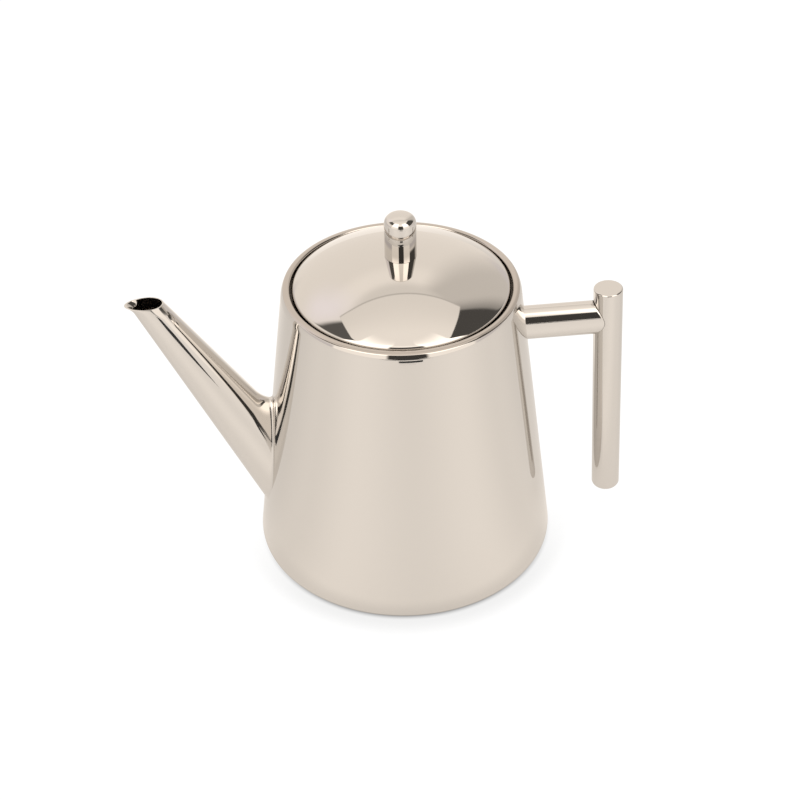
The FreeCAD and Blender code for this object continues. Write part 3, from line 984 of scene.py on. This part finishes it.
@dataclass
class Handle:
    """Level arm and upright bar."""

    wall: PotBody
    arm_height: float = 102.6
    arm_half_height: float = 7.75
    arm_half_depth: float = 5.7
    arm_length: float = 35.4
    arm_joint: float = 0.35
    arm_shares: tuple[float, ...] = (0.0, 0.02, 0.5, 0.98, 1.0)
    bar_radius: float = 6.15
    above: float = 14.4
    below: float = 93.5
    lean: float = 2.9
    cap: float = 2.4
    top_round: float = 0.7
    foot_round: float = 2.2
    tube_wall: float = 1.0
    wall_bite: float = 0.35
    around: int = 96

    def __post_init__(self) -> None:
        """Works out where the bar stands."""
        self.reach = self.wall.radius(self.arm_height) + self.arm_length

    def add_on_bar(self, name: str, outline: list[Point], closed: bool) -> Piece:
        """Adds a turned piece on the bar's leaning axis.

        Args:
            name: Name of the piece.
            outline: Radius and height along the bar, from the arm.
            closed: Whether the last point joins the first.

        Returns:
            The piece.
        """
        bm = turned_mesh(with_support(outline, closed), closed, self.around)
        turn = Matrix.Rotation(radians(-self.lean), 4, "Y")
        place = Matrix.Translation((self.reach, 0, self.arm_height)) @ turn
        bmesh.ops.transform(bm, matrix=place, verts=bm.verts)
        return add_piece(name, bm)

    def bar_front(self, y: float, z: float) -> float:
        """X of the bar's side towards the pot, at a place across and up."""
        axis = self.reach + (self.arm_height - z) * tan(radians(self.lean))
        return axis - sqrt(max(self.bar_radius ** 2 - y * y, 0.0))

    def build_bar(self) -> Piece:
        """Builds the tube between the caps."""
        low, high = -self.below + self.cap, self.above - self.cap
        outer, bore = self.bar_radius, self.bar_radius - self.tube_wall
        outline = [(outer, low), (outer, high), (bore, high), (bore, low)]
        return self.add_on_bar("handle_bar_tube", outline, True)

    def build_cap(self, name: str, end: float, outward: int, rounding: float) -> Piece:
        """Builds a rounded end.

        Args:
            name: Name of the piece.
            end: Height of the end along the bar, from the arm.
            outward: 1 for the top and -1 for the foot.
            rounding: Radius of its edge.

        Returns:
            The cap.
        """
        start = end - outward * self.cap
        centre = (self.bar_radius - rounding, end - outward * rounding)
        edge = arc_points(centre, rounding, 0.0, outward * pi / 2)
        return self.add_on_bar(name, [(0.0, start), (self.bar_radius, start), *edge, (0.0, end)], False)

    def build_arm(self) -> Piece:
        """Builds the oval arm, scribed to the wall and to the bar.

        Returns:
            The arm, whose second material is near-black painted shade along its joint with the bar.
        """
        bm = bmesh.new()
        joint = len(self.arm_shares) - 1
        rings: list[Ring] = [[] for _ in range(joint + 2)]
        inner = 1 - self.arm_joint / self.arm_half_height
        for angle in angles_round(self.around):
            y = self.arm_half_depth * cos(angle)
            up = self.arm_half_height * sin(angle)
            z = self.arm_height + up
            start = sqrt(self.wall.radius(z) ** 2 - y * y) - self.wall_bite
            end = self.bar_front(y, z) - self.arm_joint
            for ring, share in zip(rings, self.arm_shares):
                ring.append(bm.verts.new((start + (end - start) * share, y, z)))
            last = (end + 2 * self.arm_joint, y * inner, self.arm_height + up * inner)
            rings[-1].append(bm.verts.new(last))
        # The band where the arm meets the bar takes the near-black painted shade.
        for i, (low, high) in enumerate(zip(rings, rings[1:])):
            bridge(bm, low, high, int(i == joint))
        for ring in (rings[0], rings[-1]):
            bm.faces.new(ring)
        return add_piece("handle_arm_tube", bm)

    def dress(self, dresser: Dresser, finishes: Finishes) -> None:
        """Builds and dresses the arm, bar and caps."""
        dresser.dress(self.build_arm(), Body.POT, "handle_arm", finishes.small, finishes.painted_shade)
        dresser.dress(self.build_bar(), Body.POT, "handle_bar", finishes.small)
        top = self.build_cap("handle_cap_top", self.above, 1, self.top_round)
        dresser.dress(top, Body.POT, "handle_top_cap", finishes.small)
        foot = self.build_cap("handle_cap_foot", -self.below, -1, self.foot_round)
        dresser.dress(foot, Body.POT, "handle_bottom_cap", finishes.small)


@dataclass
class Lid:
    """Domed lid with its collar, knob and fixing."""

    wall: PotBody
    gap: float = 0.8
    rise: float = 14.2
    edge_stand: float = 0.45
    edge_round: float = 3.0
    fall_start: float = 33.0
    fall: float = 0.00045
    dome_steps: int = 90
    inset_rounds: int = 8
    underside: float = -0.2
    sheet: float = 0.8
    collar_clearance: float = 0.5
    collar_drop: float = 9.0
    collar_round: float = 0.3
    weld_gap: float = 0.05
    knob_radius: float = 6.5
    knob_straight: float = 14.8
    knob_crown: float = 4.0
    knob_round: float = 3.6
    knob_segments: int = 128
    screw_radius: float = 2.5
    screw_clearance: float = 0.15
    segments: int = 256

    def __post_init__(self) -> None:
        """Works out the dome."""
        self.top = self.wall.height + self.rise
        self.radius = self.wall.ring_inner - self.gap
        span = self.rise - self.edge_stand
        self.dome_radius = (self.radius ** 2 + span ** 2) / (2 * span)
        self.dome_centre = self.top - self.dome_radius
        self.edge_start = crossing(
            0.0, self.radius, lambda r: r + self.edge_round * (1 - cos(self.facing(r))) < self.radius)
        drop = self.edge_round * sin(self.facing(self.edge_start))
        self.edge_centre = (self.radius - self.edge_round, self.crown_height(self.edge_start) - drop)

    def crown_height(self, r: float) -> float:
        """Height of the dome's outside at a radius, falling away faster near the edge."""
        past = max(r - self.fall_start, 0.0)
        return self.dome_centre + sqrt(self.dome_radius ** 2 - r * r) - self.fall * past ** 3

    def facing(self, r: float) -> float:
        """Angle from level of the dome's outside at a radius."""
        past = max(r - self.fall_start, 0.0)
        return atan2(1.0, r / sqrt(self.dome_radius ** 2 - r * r) + 3 * self.fall * past ** 2)

    def dome_height(self, r: float, inset: float) -> float:
        """Height of the dome at a radius, set in by some thickness."""
        out = r
        for _ in range(self.inset_rounds):
            out = r + inset * cos(self.facing(out))
        return self.crown_height(out) - inset * sin(self.facing(out))

    def dome_line(self, inset: float) -> list[Point]:
        """Outline of the dome and its turned-down edge, from the screw hole outwards.

        Args:
            inset: Thickness that it is set in by.

        Returns:
            Its points.
        """
        start = (self.screw_radius + self.screw_clearance) / (1 - inset / self.dome_radius)
        line = []
        for i in range(self.dome_steps + 1):
            r = start + (self.edge_start - start) * i / self.dome_steps
            turn = self.facing(r)
            line.append((r - inset * cos(turn), self.crown_height(r) - inset * sin(turn)))
        line += arc_points(self.edge_centre, self.edge_round - inset, self.facing(self.edge_start), 0.0)[1:]
        return line + [(self.radius - inset, self.wall.ledge_top)]

    def build_dome(self) -> Piece:
        """Builds the pressed dome."""
        outline = self.dome_line(0.0) + self.dome_line(self.sheet)[::-1]
        return add_piece("lid_shell", turned_mesh(with_support(outline, True, 0.3), True, self.segments))

    def build_collar(self) -> Piece:
        """Builds the ring under the dome."""
        outer = self.wall.ledge_inner - self.collar_clearance
        inner = outer - self.sheet
        low = self.wall.ledge_top - self.collar_drop
        under = self.sheet + self.weld_gap
        outline = rounded_outline([
            (inner, self.dome_height(inner, under), 0),
            (inner, low, self.collar_round),
            (outer, low, self.collar_round),
            (outer, self.dome_height(outer, under), 0),
        ])
        return add_piece("lid_collar_ring", turned_mesh(outline, True, self.segments))

    def build_knob(self) -> Piece:
        """Builds the bullet-shaped knob."""
        shoulder = self.top + self.knob_straight
        out = self.knob_radius - self.knob_round
        spare = self.knob_crown - self.knob_round
        crown = (out ** 2 + self.knob_crown ** 2 - self.knob_round ** 2) / (2 * spare)
        centre = shoulder + self.knob_crown - crown
        join = atan2(shoulder - centre, out)
        line = [(r, self.dome_height(r, -self.weld_gap)) for r in (self.screw_radius, self.knob_radius)]
        line += arc_points((out, shoulder), self.knob_round, 0.0, join, 4.0)
        line += arc_points((0.0, centre), crown, join, pi / 2, 2.0)[1:-1]
        line.append((0.0, shoulder + self.knob_crown))
        line = with_support(line, False, 0.2)
        return add_piece("lid_knob_bullet", turned_mesh(line, False, self.knob_segments))

    def dress(self, dresser: Dresser, finishes: Finishes) -> None:
        """Builds and dresses the dome, collar, knob and fixing."""
        dome = self.build_dome()
        paint_faces(dome, lambda centre, normal: normal.z < self.underside or inward(centre, normal))
        dresser.dress(dome, Body.LID, "lid_dome", finishes.body, finishes.inside)
        dresser.dress(self.build_collar(), Body.LID, "lid_collar", finishes.inside, slot=Slot.SATIN)
        dresser.dress(self.build_knob(), Body.LID, "lid_knob", finishes.small)
        dresser.keep("knob_washer", finishes.fixing)
        dresser.keep("knob_screw", finishes.fixing)


# Studio, with its sizes in metres


@dataclass
class Viewpoint:
    """Camera of the photograph, with its distance and target in millimetres."""

    lens: float = 73.534
    sensor: float = 36.0
    nearest: float = 0.01
    distance: float = 705.607
    azimuth: float = -5.826
    elevation: float = 38.078
    roll: float = -1.099
    target: Triple = (-1.3313, 0.3497, 66.3935)

    def build(self) -> None:
        """Makes the camera and sets it."""
        turn, rise, roll = (radians(angle) for angle in (self.azimuth, self.elevation, self.roll))
        back = Vector((sin(turn) * cos(rise), -cos(turn) * cos(rise), sin(rise)))
        level = Vector((cos(turn), sin(turn), 0))
        upright = back.cross(level)
        right = level * cos(roll) + upright * sin(roll)
        up = upright * cos(roll) - level * sin(roll)
        place = Matrix((right, up, back)).transposed().to_4x4()
        place.translation = (Vector(self.target) + back * self.distance) * MM
        data = bpy.data.cameras.new("camera")
        data.lens = self.lens
        data.sensor_width = self.sensor
        data.clip_start = self.nearest
        camera = new_object("camera", data)
        camera.matrix_world = place
        bpy.context.scene.camera = camera


def flat_panel(name: str, w: float, h: float) -> Piece:
    """Makes a level rectangle round the origin from half its width and half its height."""
    mesh = bpy.data.meshes.new(name)
    mesh.from_pydata([(-w, -h, 0), (w, -h, 0), (w, h, 0), (-w, h, 0)], [], [(0, 1, 2, 3)])
    return new_object(name, mesh)


@dataclass(frozen=True)
class Card:
    """Flat dark panel that only reflections see."""

    name: str
    middle: Triple
    size: Point
    facing: Triple
    edge: float
    tone: Triple = (0.05, 0.05, 0.05)

    def build(self) -> None:
        """Makes the panel, with soft edges, seen only by glossy rays."""
        w, h = self.size[0] / 2, self.size[1] / 2
        panel = flat_panel(self.name, w, h)
        look = Vector(self.facing).to_track_quat("Z", "Y").to_matrix().to_4x4()
        panel.matrix_world = Matrix.Translation(self.middle) @ look
        for ray in ("camera", "diffuse", "transmission", "volume_scatter", "shadow"):
            setattr(panel, f"visible_{ray}", False)
        made, nodes, shader = new_material(self.name)
        made.node_tree.nodes.remove(shader)
        shares = []
        for place, half in zip(nodes.split(), (w, h)):
            shares.append(nodes.ramp(nodes.math("ABSOLUTE", place), half * (1 - self.edge), half, 1.0, 0.0))
        glow = nodes.add("ShaderNodeEmission", {"Color": (*self.tone, 1.0)})
        clear = nodes.add("ShaderNodeBsdfTransparent")
        ends = {0: nodes.math("MULTIPLY", *shares), 1: clear.outputs[0], 2: glow.outputs[0]}
        mix = nodes.add("ShaderNodeMixShader", ends)
        nodes.feed(mix.outputs[0], made.node_tree.nodes["Material Output"].inputs["Surface"])
        panel.data.materials.append(made)


@dataclass(frozen=True)
class Window:
    """Part of the tent with a tone of its own, as reflections see it.

    Angles are in degrees: turn from the front towards the handle, rise from level to overhead. A window in
    the ceiling has shares of the ceiling's height instead: turn towards the handle, rise towards the back.
    """

    name: str
    turn: Point
    rise: Point
    tone: float
    soft: Point
    blue: float = 0.0
    overhead: bool = False


def window_group() -> Tree:
    """Group that lays one window of the tent over what is behind it.

    Returns:
        The group, whose Colour is what was behind with the window in it.
    """
    nodes, ins, outs = new_group(
        "tent_window",
        {"Behind": WHITE, "Window": WHITE, "Lap": 180.0, "Across": 0.0, "Across middle": 0.0, "Across half": 10.0,
         "Across soft": 3.0, "Up": 0.0, "Up middle": 0.0, "Up half": 10.0, "Up soft": 3.0},
        {"Colour": WHITE},
    )
    off = nodes.math("SUBTRACT", ins["Across"], ins["Across middle"])
    off = nodes.math("WRAP", off, ins["Lap"], nodes.math("MULTIPLY", ins["Lap"], -1.0))
    up = nodes.math("SUBTRACT", ins["Up"], ins["Up middle"])
    shares = []
    for away, key in ((off, "Across"), (up, "Up")):
        over = nodes.math("SUBTRACT", nodes.math("ABSOLUTE", away), ins[f"{key} half"])
        shares.append(nodes.ramp(nodes.math("DIVIDE", over, ins[f"{key} soft"]), -1.0, 1.0, 1.0, 0.0))
    nodes.feed(nodes.mix(nodes.math("MULTIPLY", *shares), ins["Behind"], ins["Window"]), outs["Colour"])
    return nodes.tree


@dataclass
class Studio:
    """White table in a tent of panels, with an overhead softbox."""

    floor_size: float = 3.0
    floor_tone: float = 0.16
    floor_glow: float = 0.88
    floor_rough: float = 0.9
    # Painted contact shadow in the table's glow, by distance from the pot's axis in millimetres, fading out
    # towards the back.
    painted_contact_shadow: tuple[Point, ...] = ((63.0, 0.2), (66.8, 0.84), (79.0, 1.0))
    painted_shadow_fade: Point = (-60.0, 5.0)
    tent_tone: float = 1.0
    tent_warmth: Triple = (1.063, 0.972, 0.877)
    half_lap: float = 180.0
    ceiling_lap: float = 1000.0
    ceiling_skew: float = -0.05
    ceiling_bow: float = 0.21
    ceiling_low: float = 0.01
    lamp_size: Point = (0.8, 0.6)
    lamp_energy: float = 1.5
    lamp_place: Triple = (0.0, 0.1, 0.9)
    # Glow of the table as reflections see it, by degrees of turn from the front: painted light and shade, darker
    # to the sides and brightest behind.
    floor_painted_tones: tuple[Point, ...] = (
        (0.0, 0.96), (40.0, 1.04), (75.0, 0.93), (110.0, 0.81), (128.0, 0.78), (148.0, 0.82), (175.0, 1.12),
    )
    windows: tuple[Window, ...] = (
        Window("back_glow", (128, -128), (46, 60), 1.08, (8, 6)),
        Window("back_edge", (122, -122), (60, 80), 0.88, (8, 4)),
        Window("side_back_right", (106, 150), (-30, 62), 0.72, (10, 4)),
        Window("side_back_left", (-142, -112), (30, 56), 1.08, (14, 10), 0.08),
        Window("side_low_right", (60, 150), (-60, 6), 0.74, (6, 4), 0.06),
        Window("side_low_left", (-150, -64), (-60, 8), 0.74, (6, 4), 0.06),
        Window("shade_right", (70, 118), (12, 64), 0.3, (9, 3)),
        Window("gap_right", (59, 112), (12, 64), 0.085, (2, 3)),
        Window("gap_left", (-109, -65), (30, 64), 0.13, (4, 6)),
        Window("ceiling_rim", (-0.659, 0.611), (-0.9, 0.415), 0.62, (0.01, 0.01), overhead=True),
        Window("ceiling", (-0.659, 0.611), (-0.9, 0.395), 0.96, (0.01, 0.01), overhead=True),
        Window("ceiling_front", (-0.659, 0.611), (-0.9, 0.06), 1.12, (0.01, 0.3), overhead=True),
        Window("panel_left", (-66, -19), (-60, 61), 2.3, (2, 11)),
        Window("panel_right", (14, 58), (-60, 61), 2.3, (2, 11)),
        Window("panel_low", (-68, 60), (-60, 22), 1.22, (2, 7)),
        Window("slot_upper", (-22, 15), (33, 54), 1.4, (6, 11)),
        Window("slot", (-19, 16), (-60, 35), 0.06, (2, 3)),
    )
    cards: tuple[Card, ...] = (
        Card("low_flag", (0.005, -0.34, 0.032), (0.12, 0.056), (0.0, 1.0, 0.0), 0.06),
        Card("dark_front", (-0.065, -2.0, 0.002), (0.87, 2.0), (0.0, 0.0, 1.0), 0.02),
    )

    def build_floor(self) -> None:
        """Makes the table, white to the camera and with painted light and shade in reflections, with the object's
        shadow from its diffuse share and a painted contact shadow round the foot in its glow.
        """
        table = flat_panel("table", self.floor_size, self.floor_size)
        made, nodes, shader = new_material("table_white")
        x, y, _ = nodes.split()
        turn = nodes.math("ABSOLUTE", nodes.front_turn(x, y))
        # Painted contact shadow: the glow falls off near the foot, most at the front.
        painted_shadow = nodes.steps(nodes.distance(x, y), self.painted_contact_shadow, MM)
        painted_shadow = nodes.ramp(y, *(place * MM for place in self.painted_shadow_fade), painted_shadow, 1.0)
        path = nodes.add("ShaderNodeLightPath").outputs
        seen = nodes.math("MAXIMUM", path["Is Camera Ray"], path["Is Transmission Ray"])
        seen = nodes.math("MULTIPLY", seen, self.floor_glow)
        # In reflections the table glows by its turn round the pot: painted light and shade.
        glow = nodes.math("SUBTRACT", nodes.steps(turn, self.floor_painted_tones), self.floor_tone)
        shown = nodes.math("MULTIPLY_ADD", path["Is Glossy Ray"], glow, seen)
        nodes.fill(shader, {
            "Base Color": (*(self.floor_tone,) * 3, 1.0),
            "Roughness": self.floor_rough, "Specular IOR Level": 0.0,
            "Emission Color": nodes.mix(path["Is Glossy Ray"], WHITE, (*self.tent_warmth, 1.0)),
            "Emission Strength": nodes.math("MULTIPLY", shown, painted_shadow),
        })
        table.data.materials.append(made)

    def build_world(self) -> None:
        """Makes the tent: plain white as light and to the camera, with its panels in reflections."""
        world = bpy.data.worlds.new("tent")
        world.use_nodes = True
        bpy.context.scene.world = world
        nodes = Nodes(world.node_tree)
        x, y, z = nodes.split("Generated")
        walls = (nodes.front_turn(x, y), nodes.math("DEGREES", nodes.math("ARCSINE", z)), self.half_lap)
        height = nodes.math("MAXIMUM", z, self.ceiling_low)
        out, back = (nodes.math("DIVIDE", way, height) for way in (x, y))
        bow = nodes.math("POWER", out, 2.0)
        ceiling = (nodes.math("MULTIPLY_ADD", back, self.ceiling_skew, out),
                   nodes.math("MULTIPLY_ADD", bow, self.ceiling_bow, back), self.ceiling_lap)
        group = window_group()
        warm = self.tent_warmth
        behind: object = (*(self.tent_tone * share for share in warm), 1.0)
        for window in self.windows:
            across, up, lap = ceiling if window.overhead else walls
            half = (window.turn[1] - window.turn[0]) % (2 * lap) / 2
            tone = (*(window.tone * share for share in (*warm[:2], warm[2] + window.blue)), 1.0)
            behind = nodes.add("ShaderNodeGroup", {
                "Behind": behind, "Window": tone, "Lap": lap, "Across": across, "Up": up,
                "Across middle": window.turn[0] + half, "Across half": half, "Across soft": window.soft[0],
                "Up middle": sum(window.rise) / 2, "Up half": (window.rise[1] - window.rise[0]) / 2,
                "Up soft": window.soft[1],
            }, node_tree=group, label=window.name).outputs["Colour"]
        path = nodes.add("ShaderNodeLightPath").outputs
        tent = nodes.mix(path["Is Glossy Ray"], WHITE, behind)
        nodes.feed(tent, world.node_tree.nodes["Background"].inputs["Color"])

    def build_lamp(self) -> None:
        """Makes the overhead softbox, which reflections don't see."""
        data = bpy.data.lights.new("softbox", "AREA")
        data.shape = "RECTANGLE"
        data.size, data.size_y = self.lamp_size
        data.energy = self.lamp_energy
        lamp = new_object("softbox", data)
        lamp.location = self.lamp_place
        lamp.visible_glossy = False

    def build(self) -> None:
        """Builds the whole studio."""
        self.build_floor()
        self.build_world()
        self.build_lamp()
        for card in self.cards:
            card.build()
        bpy.context.scene.view_settings.view_transform = "Standard"


def main() -> None:
    """Builds the teapot's looks round the frame."""
    logging.basicConfig(level=logging.INFO, format="%(name)s: %(message)s")
    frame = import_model()
    finishes = Finishes()
    dresser = Dresser(frame["nodes"])
    pot = PotBody()
    spout = Spout(pot)
    pot.dress(dresser, finishes, spout)
    spout.dress(dresser, finishes)
    Handle(pot).dress(dresser, finishes)
    Lid(pot).dress(dresser, finishes)
    Studio().build()
    Viewpoint().build()


if __name__ == "__main__":
    main()
